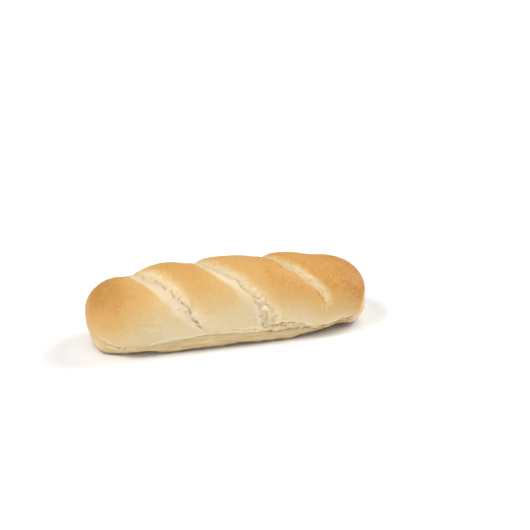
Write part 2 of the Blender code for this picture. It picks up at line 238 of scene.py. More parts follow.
# Cracks, curls, blisters and pits that stand out one by one, as (half width, height, shade, then the places
# of its line, each along and down). A single place makes a round one. All in millimetres; the shade goes from
# -1, tan, to 1, floury.
# Two flat floury strips, on the shaded flanks left of the first and second cracks, are painted highlight.
marks = (
    # the first cut
    (0.45, -0.3, -0.6, -53.4, 7, -54.4, -2.7), (0.8, -0.3, -0.45, -48.6, -5.4, -47.7, -7, -47, -9.8),
    (0.5, -0.5, -0.8, -44.7, -14.3, -44, -15.7, -43.3, -18.4),
    (0.5, -0.6, -0.9, -41.3, -20.1, -40.5, -21.2, -40, -22.7, -39.6, -24.3, -38.6, -26.5),
    (0.9, -0.45, -0.7, -36.5, -27.9),
    (0.5, -0.7, -0.95, -35.2, -29.7, -34, -31.3, -32.7, -32.8, -31.5, -33.9, -30.6, -35.5, -30.4, -37.2,
     -29.8, -38.7),
    (0.5, -0.6, -0.95, -29.3, -41.8, -28.7, -43.1, -27.1, -44.3, -25.5, -45.7),
    (0.5, -0.5, -0.8, -25.6, -47.2, -24.1, -48.8, -22.8, -49.9),
    (0.45, -0.3, -0.55, -33.3, -37.2, -32.5, -38.5), (0.4, -0.3, -0.5, -30.9, -39.5, -30, -41),
    (0.35, -0.15, -0.3, -39.1, -34.4, -37.8, -35.1, -36.5, -34.7), (0.9, 0.45, 0.25, -45.2, -16.4),
    (1.6, 0.7, 0.35, -40.4, -18.3), (0.8, 0.4, 0.3, -38.8, -23.2), (1.1, 0.4, 0.3, -36, -25.8),
    (1.7, 0.6, 0.25, -32.9, -28.7), (1.3, 0.45, 0.35, -32.6, -35.4), (1, 0.35, 0.3, -34, -40),
    (1, 0.35, 0.35, -32.1, -41.6), (1.4, 0.5, 0.4, -28.4, -39.7), (1.6, 0.6, 0.4, -26.5, -40.3),
    (1.4, 0.5, 0.4, -24.4, -45.6), (1.7, 0.5, 0.4, -28, -46.2), (1.1, 0.35, 0.2, -33.6, -21.9),
    (1.2, 0.4, 0.25, -36.4, -20.2), (1.1, 0.35, 0.3, -37.7, -33.7),
    # painted highlight: a flat floury tint on the shaded flank left of the crack
    (2.6, 0, 0.55, -26, -49, -31, -42.6, -36, -38, -40, -34.5),
    # the second cut
    (0.45, -0.6, -0.85, -2.6, -16.6, -1, -16.9, 0.4, -17.7, 1.7, -19.8, 2.6, -21.2, 2.6, -23, 3.2, -25.1,
     4.3, -26.7, 5.8, -27.6, 7.4, -28.9, 8.2, -29.8, 8.7, -30.8, 9.6, -31.8, 9.8, -33.1, 10.2, -34.5, 10.9,
     -35.9, 11.6, -37.4, 11.7, -38.5),
    (0.6, -0.3, -0.5, 12.1, -39.5, 12.9, -39.9),
    (0.6, -0.25, -0.35, -6.9, -9.7, -5.7, -11.5, -4.1, -12.9, -2.7, -14.2),
    (0.4, -0.2, -0.3, -9.9, -4.6, -9.9, -7.1),
    (0.45, -0.5, -0.8, 10.5, -32, 11.8, -33.2, 13.8, -33.2, 15.2, -32.3, 15.7, -31.7),
    (0.8, 0.6, 0.6, 10.3, -33.7, 11.5, -34.4, 13.6, -34.9, 15.2, -34.4, 16.3, -33.6),
    (0.4, -0.3, -0.4, 16.7, -33, 17.2, -34.5, 17.4, -35.9, 17.1, -37.2),
    (0.45, -0.6, -0.9, 14.3, -37.9, 15.5, -37.6, 16.8, -37.7, 18.1, -38.1, 19, -39.4, 20.1, -40.1, 21.3,
     -40.2, 22.1, -40.9),
    (1.2, 0.6, 0.6, 15.2, -40.4, 16.7, -39.7, 18.2, -40.8),
    (0.5, -0.5, -0.7, 17.6, -42.2, 17.7, -43.9, 17.6, -46.2, 16.9, -48.4, 16.5, -50.1),
    (0.45, -0.4, -0.6, 15.9, -46.4, 15.2, -48, 14.9, -48.9), (0.6, -0.35, -0.5, 12.4, -44.1, 13.8, -45.1),
    # the second of these is painted highlight, a flat floury tint on the shaded flank left of the crack
    (0.9, 0.3, 0.5, 11.4, -46.2, 11.7, -48), (1.8, 0, 0.6, 13.6, -48.5, 12.7, -43.5, 11.2, -39),
    (1.6, 0, 0.9, 24.5, -58, 31, -57.8, 40, -58.2),
    (0.9, 0.5, 0.45, 19.2, -42.9, 19.3, -45.6, 20, -49.4, 19.3, -51.7),
    (0.6, 0.35, 0.3, 21, -43.2, 21.2, -46.6, 21.5, -50.1), (2.2, 0.35, 0.2, 23.8, -46.1),
    (1, -0.8, -0.9, 23.8, -46.1), (0.4, -0.3, -0.45, 21.8, -45.8, 21.8, -47.8),
    (0.5, -0.3, -0.45, 22.1, -49.9, 23.3, -49.6), (0.6, -0.5, -0.75, 14.9, -49.9, 14.8, -51.4, 15.4, -52.7),
    (0.6, -0.45, -0.75, 16.1, -53.6, 17.5, -53.9), (0.9, 0.35, 0.3, 6.4, -25.6),
    (0.9, 0.4, 0.4, 11.3, -26.7), (1, 0.3, 0.25, -1, -12), (1.2, 0.35, 0.25, 13.2, -35.8),
    (1.3, 0.35, 0.3, 9.7, -28.3), (1.2, 0.35, 0.2, 13.1, -30.2),
    # the torn patch
    (0.5, -1.2, -1.2, 20.3, -52.9, 21.9, -53.1, 23.8, -52.7, 25.5, -52.2, 26.6, -51.4, 27.6, -51, 29.2, -51,
     31.4, -51.2, 33, -51.1, 35.6, -51.6),
    (0.35, -0.35, -0.4, 35.6, -51.6, 37.6, -51.3, 39.9, -51.3, 41.5, -52, 43.7, -55.9),
    (0.45, -0.5, -0.7, 27.2, -51.8, 27.7, -53.8, 27.9, -56), (0.4, -0.5, -0.7, 29.4, -51.2, 30.2, -54.7),
    (0.35, -0.4, -0.6, 28.8, -53.5, 29.2, -58.5), (0.5, -0.4, -0.6, 35.1, -51.3, 36.2, -54.3),
    (0.45, -0.35, -0.6, 30.4, -58.7, 32.1, -58.6, 33.8, -58.5, 35.9, -59, 37.7, -58.4, 38.8, -59.3, 41.1,
     -59.2, 42.8, -59.9),
    (0.5, 0.35, 0.4, 22.4, -52.2, 24, -51.8, 25.9, -51),
    (0.6, 0.3, 0.35, 25.9, -50.4, 28.8, -49.7, 32.6, -49.9, 37.1, -49.9, 41.1, -50.4),
    (0.7, -0.4, -0.7, 42.4, -53.2), (0.7, -0.6, -0.9, 24.3, -53.3), (0.6, -0.6, -0.9, 26.3, -55.1),
    (0.8, -0.8, -1, 27.4, -53.1), (0.6, -0.5, -0.8, 29.6, -54.8), (0.5, -0.4, -0.7, 33, -58.5),
    (0.6, -0.5, -0.8, 35.2, -53.6), (0.9, 0.6, 0.6, 25.4, -53.8), (0.8, 0.5, 0.6, 28.1, -54.2),
    (1.1, 0.6, 0.6, 31.3, -55.4), (0.9, 0.5, 0.5, 34.2, -56.3), (1, 0.5, 0.5, 38.3, -58.3),
    (1.2, 0.5, 0.5, 41.9, -58.5),
    # the third cut
    (0.8, -0.6, -0.8, 47.8, -21.9), (0.5, -0.25, -0.5, 36.3, -5.5), (0.5, -0.25, -0.5, 36.5, -8.5),
    (0.5, -0.25, -0.5, 42.9, -15.5), (0.5, -0.25, -0.5, 44.9, -20.3),
    (0.5, -0.35, -0.6, 49.9, -28.1, 51.1, -29.3, 52.1, -30.9, 53.2, -32.8, 53.9, -34.2, 54.5, -35, 55, -36.3,
     56.2, -36.8, 57.6, -36.1, 58.5, -35.3),
    (0.4, -0.2, -0.4, 54.7, -37.6, 54.6, -39.4, 54.6, -42.1), (0.5, 0.12, 0.3, 53.2, -38, 53.3, -41.5),
    (0.6, 0.15, 0.35, 56, -37.6, 55.9, -41.7), (0.7, 0.1, 0.2, 58.7, -37.3, 57.5, -40.6),
    (1.5, 0.3, 0.3, 41.8, -11.1), (1.3, 0.3, 0.3, 46.7, -18), (1.3, 0.3, 0.3, 48.5, -19.7),
    (1.4, 0.3, 0.2, 51.1, -25.4), (0.9, 0.3, 0.3, 55.9, -31.3), (0.9, 0.3, 0.3, 56.8, -32.8),
    (0.9, 0.3, 0.3, 56.5, -35.2),
    # the seam
    (0.4, -0.5, -0.8, 15.5, -58.2, 19.6, -58.9, 22.5, -59.6, 25.5, -59.7, 28.4, -60),
    (0.45, -0.5, -0.9, -4.8, -52.9, -1.9, -53.1, 0.8, -54.5, 4, -54.8, 6.9, -55.1, 10.4, -55),
    (0.9, 0.45, 0.9, -10.3, -55.9, -6.6, -55.4, -3.5, -55.3, -0.9, -55.6, 1.6, -57.6, 4.4, -57.3, 7.5, -56.7,
     11.5, -57.5),
    (0.7, 0.35, 0.7, -2, -52.3, 0.9, -53, 3.8, -53, 6.9, -52.5, 10.2, -52.8, 13.5, -53.8, 16.8, -55.1, 22,
     -58.9, 25.7, -58.9),
    (0.4, -0.3, -0.6, -14.9, -53.4, -12.6, -53.7),
    (0.8, 0.35, 0.8, -54.5, -53.8, -52.1, -53.4, -49.1, -53.9, -45.3, -54.8, -41.8, -53.4, -36.8, -54.1,
     -33.1, -54.6, -29.9, -54.7, -26.3, -54.2, -22, -53.6),
    (0.4, -0.5, -0.9, -22.2, -55.8, -20.4, -55.8, -17.6, -58),
    (0.35, -0.2, -0.5, -35.2, -57.4, -32.6, -58.2, -30.1, -57.9),
    (0.35, -0.15, -0.4, -45.6, -57.4, -43.8, -57.7, -41.3, -58.2),
    # the left end
    (0.7, -0.7, -0.8, -101.1, -31, -98.7, -34.5, -97, -37.6, -96.2, -39.7, -92.2, -42, -90.4, -44.8, -87.1,
     -48.1),
    (0.9, 0.35, 0.25, -99.3, -28.6, -96.6, -32.9, -94.7, -35.8, -93.2, -39.5, -91.1, -42.1, -86.3, -45.6,
     -83.4, -48.1),
    (0.6, -0.8, -0.9, -81.4, -51.3, -82.7, -52.9, -86.3, -52.7),
    (0.7, 0.15, 0.15, -99.3, -44.4, -90.9, -50.6, -80.6, -55.2),
    (0.5, -0.15, -0.35, -59.2, -37.1, -58, -38.8, -56.3, -40.2),
    (0.5, -0.15, -0.4, -54.7, -39.4, -53.2, -40.1),
    (0.7, 0.12, 0.2, -59.6, -39.2, -57.2, -41.1, -54.8, -42, -50.6, -43.2),
    (0.5, -0.1, -0.25, -75.5, -35.5, -73.2, -36.1),
    # specks on the crust
    (0.5, -0.1, -0.4, -4.5, -35.4), (0.7, -0.1, -0.25, -2.5, -36.6), (0.8, -0.1, -0.25, -10.3, -35),
    (0.5, -0.1, -0.35, -17.3, -38.2, -16.6, -38.4), (0.5, -0.1, -0.4, -35.7, -14.1),
    (0.5, -0.1, -0.35, 30.1, -15.8), (0.5, -0.1, -0.35, 43.5, -27.4), (0.5, -0.1, -0.3, -90.5, -28.1),
    (0.5, -0.1, -0.3, -92.7, -21.2),
    # the right end
    (0.5, 0.4, 0.9, 41.5, -50.9, 43.4, -52.3, 45.9, -55, 48.9, -58.4, 51.5, -58.2, 53.4, -54.5, 56.4, -52.4,
     59.6, -51.5, 65, -49.9, 69.8, -48.8, 77.5, -48.5, 82.5, -46, 85.7, -43.4),
    (0.5, -0.9, -0.9, 49.7, -62.9, 52.6, -63, 54.2, -58, 57.4, -56.4, 61.2, -55.2, 67.8, -53.5, 72.7, -51.5,
     77.5, -49.5, 82.7, -47.2, 86.5, -44.6, 89.7, -42.3),
    (0.7, -0.6, -0.9, 76.2, -50, 80.7, -48.5), (0.8, -0.6, -0.9, 94.2, -43.4),
    (0.6, -0.4, -0.7, 78.7, -55.7), (0.5, -0.4, -0.7, 93.6, -48.5, 100, -42.6),
    (0.5, -0.4, -0.6, 70.3, -60.6, 84.5, -58.4),
)
# How the marks are drawn and broken up, and how far around them the surface is divided finely.
marked = {
    "tall": 0.38, "stain": 0.85, "stainWider": 1.15,
    "reach": 3,  # in half widths
    "fineHalves": 1.6, "fineBeyond": 0.6 * mm, "lineSize": 1.6 * mm, "lineWander": 0.3 * mm,
    "broken": {"size": 2.3 * mm, "seed": 34, "middle": 0.8, "reach": 1.3, "low": 0.35, "high": 1.1},
    "flakeSize": 1.1 * mm, "flakes": 1.4,
}

# How finely the surface is divided. A smooth area takes every fourth line of this grid.
grid = {"straight": 436, "end": 360, "dome": 184, "side": 48, "rim": 16, "heel": 24, "corner": 8, "base": 24}
coarse = 4
# Beside the cuts it is divided once and twice, between these distances from their lines.
once = {"fade": 0.02, "left": -2 * mm, "right": 3 * mm}
twice = {"fade": 0.05, "left": -0.7 * mm, "right": 0.8 * mm, "upTo": 8 * mm}


def easeBetween(low, high, value):
    share = np.clip((value - low) / (high - low), 0, 1)
    return share * share * (3 - 2 * share)


def curveThrough(knots, value):
    # a smooth curve through pairs of (millimetres, height), read at places in metres. It never overshoots
    # them and is level beyond its ends.
    place, height = np.array(knots, float).T
    step = np.diff(place)
    rise = np.diff(height) / step
    slope = np.zeros(len(place))
    goesOn = rise[:-1] * rise[1:] > 0
    slope[1:-1][goesOn] = 2 / (1 / rise[:-1][goesOn] + 1 / rise[1:][goesOn])
    value = np.clip(value / mm, place[0], place[-1])
    i = np.clip(np.searchsorted(place, value) - 1, 0, len(place) - 2)
    t = (value - place[i]) / step[i]
    return (
        (2 * t**3 - 3 * t**2 + 1) * height[i]
        + (t**3 - 2 * t**2 + t) * step[i] * slope[i]
        + (3 * t**2 - 2 * t**3) * height[i + 1]
        + (t**3 - t**2) * step[i] * slope[i + 1]
    )


def outlineColumns():
    # place along the spine and direction in plan of each column, once round the roll from its front
    straight = loaf["straight"]
    along = np.linspace(-straight, straight, grid["straight"], endpoint=False)
    turn = np.linspace(-math.pi / 2, math.pi / 2, grid["end"], endpoint=False)
    still, ends = np.full(grid["straight"], math.pi / 2), np.full(grid["end"], straight)
    spine = np.concatenate([along, ends, -along, -ends])
    return spine, np.concatenate([-still, turn, still, turn + math.pi])


def softLine(controls, steps):
    # a Catmull-Rom line through the controls, each an array of (distance out, height) for every column
    line = []
    last = len(controls) - 1
    for n in range(1, steps + 1):
        t, i = math.modf(last * n / steps)
        i = int(i)
        if i == last:
            i, t = last - 1, 1.0
        a, b, c, d = (controls[min(max(k, 0), last)] for k in (i - 1, i, i + 1, i + 2))
        line.append(
            0.5 * (2 * b + (c - a) * t + (2 * a - 5 * b + 4 * c - d) * t**2 + (3 * b - a - 3 * c + d) * t**3)
        )
    return line


def columnProfiles(spine, direction):
    # (distance from the spine, height) of every column's points, from the crest to the middle of the base
    half = loaf["width"] / 2 * (1 - loaf["barrel"] * (spine / loaf["straight"]) ** 2)
    onward = loaf["length"] / 2 - loaf["straight"]
    power = loaf["outlinePower"]
    sine, cosine = np.sin(direction), np.cos(direction)
    out = ((np.abs(sine) / half) ** power + (np.abs(cosine) / onward) ** power) ** (-1 / power)
    tip = spine + out * cosine
    atFront = sine < -1e-9  # the columns at the very ends count as back

    def atSide(name):
        front, back = curveThrough(loaf[name + "Front"], tip), curveThrough(loaf[name + "Back"], tip)
        return np.where(atFront, front, back) * mm

    seam, tuck, lift = atSide("seam"), atSide("tuck"), atSide("lift")
    undercut, slant, corner = atSide("undercut"), atSide("slant"), atSide("corner")
    widest, lip = loaf["widestAt"], loaf["lipTall"]
    bulge = 2 / curveThrough(loaf["domePower"], tip)
    line = []
    for n in range(grid["dome"] + 1):
        turn = math.pi / 2 * n / grid["dome"]
        away = out * math.sin(turn) ** bulge
        top = loaf["height"] * curveThrough(loaf["crest"], spine + away * cosine)
        line.append(np.stack([away, widest + (top - widest) * max(math.cos(turn), 0) ** bulge]))
    for n in range(1, grid["side"] + 1):
        turn = loaf["sideTurn"] * n / grid["side"]
        inward = tuck * (1 - math.cos(turn)) / (1 - math.cos(loaf["sideTurn"]))
        fall = (widest - seam - lip) * math.sin(turn) / math.sin(loaf["sideTurn"])
        line.append(np.stack([out - inward, widest - fall]))
    edge = out - tuck
    heelTop = edge - undercut
    rim = [line[-1]]
    for beyond, above in loaf["lip"]:
        rim.append(np.stack([edge + beyond * mm, seam + above * mm]))
    rim.append(np.stack([heelTop, seam]))
    line += softLine(rim, grid["rim"])
    low = lift + corner
    for n in range(1, grid["heel"] + 1):
        share = n / grid["heel"]
        swell = loaf["heelSwell"] * math.sin(math.pi * share)
        line.append(np.stack([heelTop - slant * share + swell, seam + (low - seam) * share]))
    heelFoot = heelTop - slant
    for n in range(1, grid["corner"] + 1):
        turn = math.pi / 2 * n / grid["corner"]
        line.append(np.stack([heelFoot - corner * (1 - math.cos(turn)), low - corner * math.sin(turn)]))
    foot = heelFoot - corner
    for n in range(1, grid["base"] + 1):
        share = 1 - n / grid["base"]
        line.append(np.stack([foot * share, lift * easeBetween(loaf["flatShare"], 1, share)]))
    return np.array(line).transpose(2, 0, 1), seam


def cutEnds(cut):
    # how far down its front end and its back end are
    return cut["path"][0][0] * mm, cut["path"][-1][0] * mm


def cutPlaces(cut, along, down):
    # how strong the cut is at each point, the distance square to its middle and its half width, in metres
    front, back = cutEnds(cut)
    fade = easeBetween(front, front + torn["endFade"], down)
    fade = fade * (1 - easeBetween(back - torn["endFade"], back + torn["backTail"], down))
    table = np.linspace(front, back, torn["wanderSteps"])
    wander = [noise.noise(Vector((v / torn["wanderSize"], cut["seed"], 0))) for v in table]
    middle = curveThrough(cut["path"], down) * mm + cut["wobble"] * mm * np.interp(down, table, wander)
    return fade, (along - middle) * torn["across"], curveThrough(cut["half"], down) * mm


def cutLines(cut, along, down):
    # distance square to the cut from its crack, from where the skin starts and from where the crumb ends
    lines = (curveThrough(cut[name], down) * mm for name in ("crack", "skin", "crumbEnd"))
    return [(along - line) * torn["across"] for line in lines]


def tearPlace(x, y, height):
    # 1 inside the torn patch beside the second cut's foot
    top, seam = curveThrough(tear["top"], x) * mm, curveThrough(loaf["seamFront"], x) * mm
    inside = easeBetween(seam, seam + tear["edge"], height)
    inside = inside * (1 - easeBetween(top - tear["edge"], top, height))
    reach = (y < 0) & (x > tear["top"][0][0] * mm) & (x < tear["top"][-1][0] * mm)
    return np.where(reach, inside, 0)


def gridNames(columns, rows):
    # one number for each grid point, shared where columns meet at the crest, the poles and the base's middle
    names = np.arange(columns * rows).reshape(columns, rows)
    straight, end = grid["straight"], grid["end"]
    for row in (0, rows - 1):
        backs = 2 * straight + end - np.arange(1, straight)
        names[backs, row] = names[np.arange(1, straight), row]
        names[straight : straight + end + 1, row] = names[straight, row]
        names[2 * straight + end :, row] = names[0, row]
    return names


def dividedFaces(names, fineness):
    # Splits every coarse cell in four, and again, where the fineness asks for it. A face also takes in the
    # corners of smaller faces along its sides, so that the mesh is closed.
    columns, rows = names.shape
    closed = np.concatenate([names, names[:1]])
    want = np.concatenate([fineness, fineness[:1]])
    cells = [(c, r, coarse) for c in range(0, columns, coarse) for r in range(0, rows - 1, coarse)]
    leaves = []
    while cells:
        c, r, size = cells.pop()
        splits = (coarse // size).bit_length() - 1  # how often this cell has been split so far
        if size > 1 and want[c : c + size + 1, r : r + size + 1].max() > splits:
            half = size // 2
            cells += [(c + i, r + k, half) for i in (0, half) for k in (0, half)]
        else:
            leaves.append((c, r, size))
    leaves.sort()
    used = np.zeros(names.size, bool)
    for c, r, size in leaves:
        used[closed[[c, c, c + size, c + size], [r, r + size, r + size, r]]] = True
    faces = []
    for c, r, size in leaves:
        steps = range(size)
        ring = [closed[c, r + k] for k in steps] + [closed[c + k, r + size] for k in steps]
        ring += [closed[c + size, r + size - k] for k in steps] + [closed[c + size - k, r] for k in steps]
        ring = [n for n in ring if used[n]]
        ring = [n for i, n in enumerate(ring) if n != ring[i - 1]]
        if len(set(ring)) > 2:
            faces.append((ring, r))
    return used, faces


def hexColour(text):
    # sRGB hex to linear
    parts = [int(text[i : i + 2], 16) / 255 for i in (1, 3, 5)]
    return tuple(p / 12.92 if p <= 0.04045 else ((p + 0.055) / 1.055) ** 2.4 for p in parts) + (1.0,)


def addNode(tree, kind, inputs=(), output=0, **settings):
    # adds a node, fills its inputs, in order or by name, by value or from another node's socket, and gives
    # back one output
    node = tree.nodes.new(kind)
    for name, value in settings.items():
        setattr(node, name, value)
    for key, value in inputs.items() if isinstance(inputs, dict) else enumerate(inputs):
        if isinstance(value, bpy.types.NodeSocket):
            tree.links.new(value, node.inputs[key])
        else:
            node.inputs[key].default_value = value
    return node.outputs[output] if len(node.outputs) else node


# Where the oven browned the crust, along the roll: the heights in millimetres at which the colour starts and
# is full, the least there is of it down to the seam, and the most.
bake = {
    "starts": (
        (-90, -8), (-75, -3), (-65, 1), (-55, 5), (-45, 8), (25, 8), (35, 9), (45, 6), (55, 0), (72, -1),
        (80, -7), (90, -14),
    ),
    "full": (
        (-90, 37), (-75, 37), (-65, 46), (-55, 50), (-45, 55), (-25, 52), (4, 56), (15, 54), (25, 44),
        (35, 41.5), (45, 38.5), (55, 36), (65, 38), (74, 34), (81, 26), (90, 23),
    ),
    "least": ((-90, 0.3), (-72, 0.17), (-52, 0.19), (-45, 0), (90, 0)),
    "most": ((-90, 1.1), (-60, 1.02), (40, 1.02), (60, 1.08), (70, 1.08), (80, 1.13), (90, 1.18)),
    "hottest": 1.2,  # the end of the row of crust tones
    "flankLighter": 0.25,  # of the crust just left of a stretched flank
    # the round ends are darker between these distances, partly browner crust and partly painted shade
    "flankReach": 4 * mm, "ends": (58 * mm, 98 * mm),
    "rightEnd": 0.5,  # of the left end's darkening
    "patchSize": 13 * mm, "patchShare": 0.06,
}
# The edges between crust, crumb and heel. A pair is where an edge starts and where it is full.
ragged = {
    "frontFade": 2 * mm, "backFade": 12 * mm, "reach": 12 * mm, "edgeSize": 3.4 * mm,
    "edgeWander": 1.1 * mm, "edgeFineSize": 1.4 * mm, "edgeFine": 1.3 * mm,
    # shares of the edge's wander
    "crackWander": 0.4, "skinWander": 0.25, "goldWander": 0.7,
    "crackEdge": (-0.3 * mm, 0.4 * mm), "lumpEdge": (-0.3 * mm, 1.4 * mm), "skinEnds": (-3 * mm, 1 * mm),
    "goldFrom": -2 * mm, "goldStarts": -0.5 * mm, "narrowest": 0.1 * mm,
    "crumbThins": (0.4, 1.05),  # between the crack, 0, and the crumb's end, 1
    "patchSize": 1.7 * mm, "patchLess": 0.1,
    # bumps on the rim, in the middle of its rows
    "rimSize": 2.4 * mm, "rimTall": 0.5 * mm, "rimMiddle": 0.45, "rimHalf": 0.4,
    "wrinkled": (30 * mm, 20 * mm),
    "heelTorn": (50 * mm, 57 * mm), "heelTornFront": (-4 * mm, 6 * mm), "heelLump": 0.8,
    "endCleans": (72 * mm, 80 * mm), "endCleaner": 0.6, "endDusts": (73 * mm, 79 * mm), "endDust": 0.45,
    "nicks": {"size": 6 * mm, "seed": 51, "middle": 0.85, "reach": 1.2, "low": 0.4, "high": 1},
    # the dark line at the edge of the base is toasted crust and painted contact shade
    "toastAndShade": (0.7 * mm, 1.7 * mm),  # the dark line at the edge of the base fades over these heights
}
seedSteps = (7.31, 3.17, 1.0)  # how far apart the patterns of two seeds lie


def noiseAt(points, size, seed, near=slice(None)):
    # 0 where `near` is false, where it isn't worked out
    shift = Vector([seed * step for step in seedSteps])
    values = np.zeros(len(points))
    values[near] = [noise.noise(Vector(p) / size + shift) for p in points[near]]
    return values


def brokenUp(points, size, seed, middle, reach, low, high):
    # a share that changes from place to place
    return np.clip(middle + reach * noiseAt(points, size, seed), low, high)


def nearLine(line, along, down, reach):
    # the places within reach of a line, and how far each is from it
    line = np.reshape(line, (-1, 2)).astype(float) * mm
    low, high = line.min(0) - reach, line.max(0) + reach
    near = np.flatnonzero((along > low[0]) & (along < high[0]) & (down > low[1]) & (down < high[1]))
    place = np.stack([along[near], down[near]], axis=1)
    if len(line) == 1:
        return near, np.hypot(*(place - line[0]).T)
    away = np.full(len(near), np.inf)
    for start, end in zip(line[:-1], line[1:]):
        step = end - start
        share = np.clip((place - start) @ step / (step @ step), 0, 1)
        away = np.minimum(away, np.hypot(*(place - start - share[:, None] * step).T))
    return near, away


def markFields(along, down):
    # height in metres, and how tan and how floury the single marks make each place; two flat floury marks are
    # painted highlight
    tall, tan, flourAndHighlight = np.zeros(len(along)), np.zeros(len(along)), np.zeros(len(along))
    for half, height, shade, *line in marks:
        near, away = nearLine(line, along, down, marked["reach"] * half * mm)
        power = 2 if len(line) > 2 else 3  # a round mark has a flatter top
        tall[near] += marked["tall"] * height * mm * np.exp(-((away / (half * mm)) ** power))
        stain = marked["stain"] * abs(shade) * np.exp(-((away / (marked["stainWider"] * half * mm)) ** 2))
        where = tan if shade < 0 else flourAndHighlight
        where[near] = np.maximum(where[near], stain)
    return tall, tan, flourAndHighlight


def cutForm(cut, place, along, down):
    # the height of the crags in a cut, and the depth of its trench and of the valley around it
    fade, across, half = cutPlaces(cut, along, down)
    share = across / half
    strip = fade * easeBetween(torn["stripStarts"], torn["creaseAt"], share)
    strip = strip * (1 - easeBetween(torn["creaseAt"], torn["stripEnds"], share))
    crag = noiseAt(place, torn["cragSize"], cut["seed"], strip > 0)
    risen = torn["frontShare"] + (1 - torn["frontShare"]) * easeBetween(*torn["deepens"], down)
    aside = torn["backAside"] * easeBetween(*torn["turnsAside"], down)
    valley = risen * torn["valleyDeep"] * fade * np.exp(-(((across + aside) / torn["valleyHalf"]) ** 2))
    trench = risen * torn["trenchDeep"]
    return torn["cragTall"] * crag * np.sqrt(strip), trench * strip, valley


def cutLooks(cut, place, along, down):
    # the shares of crumb, lumps and pale stretched skin in a cut, and how much browning it leaves beside it
    def share(name):
        return curveThrough(cut[name], down)

    off, skin, end = cutLines(cut, along, down)
    front, back = cutEnds(cut)
    shown = easeBetween(front, front + ragged["frontFade"], down)
    shown = shown * (1 - easeBetween(back - ragged["backFade"], back, down))
    near = (shown > 0) & (skin > -ragged["reach"]) & (end < ragged["reach"])
    wander = ragged["edgeWander"] * noiseAt(place, ragged["edgeSize"], cut["seed"], near)
    wander = wander + ragged["edgeFine"] * noiseAt(place, ragged["edgeFineSize"], cut["seed"], near)

    fromCrack = off + ragged["crackWander"] * wander
    soft = cut["edgeSoft"] * mm
    inside = shown * easeBetween(*ragged["crackEdge"], fromCrack)
    inside = inside * (1 - easeBetween(-soft, soft, end + wander))
    through = off / np.maximum(off - end, ragged["narrowest"])
    inside = inside * (1 - cut["crumbFades"] * easeBetween(*ragged["crumbThins"], through))
    patchy = noiseAt(place, ragged["patchSize"], cut["seed"] + 1, near) - ragged["patchLess"]
    crumb = inside * np.clip(1 + cut["patchy"] * patchy, 0, 1) * share("crumbShare")
    beside = np.exp(-((np.maximum(off, 0) / torn["lumpReach"]) ** 2))
    beside = torn["lumpFar"] + (1 - torn["lumpFar"]) * beside
    lump = inside * (beside * easeBetween(*ragged["lumpEdge"], fromCrack)) * share("lumps")

    soft = share("skinSoft") * mm
    flank = shown * easeBetween(-soft, soft, skin + ragged["skinWander"] * wander)
    flank = flank * (1 - easeBetween(*ragged["skinEnds"], end + wander)) * share("flankShare")
    gold = cut["goldAtEdge"]
    goldEdge = easeBetween(ragged["goldStarts"], cut["goldReach"] * mm, end + ragged["goldWander"] * wander)
    right = np.where(end > ragged["goldFrom"], gold + (1 - gold) * goldEdge, 1)
    left = bake["flankLighter"] * share("flankShare") * np.exp(np.minimum(skin, 0) / bake["flankReach"])
    return crumb, lump, flank, 1 - shown * (1 - np.where(skin < 0, 1 - left, right))


def browning(place, light, pale):
    # how brown the crust is, from 0, unbaked
    x, z = place[:, 0], place[:, 2]
    starts, full = curveThrough(bake["starts"], x) * mm, curveThrough(bake["full"], x) * mm
    golden = curveThrough(bake["most"], x) * easeBetween(0, 1, (z - starts) / (full - starts))
    golden = np.maximum(golden, curveThrough(bake["least"], x)) * light * (1 - pale)
    golden = golden * (1 + bake["patchShare"] * noiseAt(place, bake["patchSize"], seed=5))
    return np.clip(golden, 0, bake["hottest"])


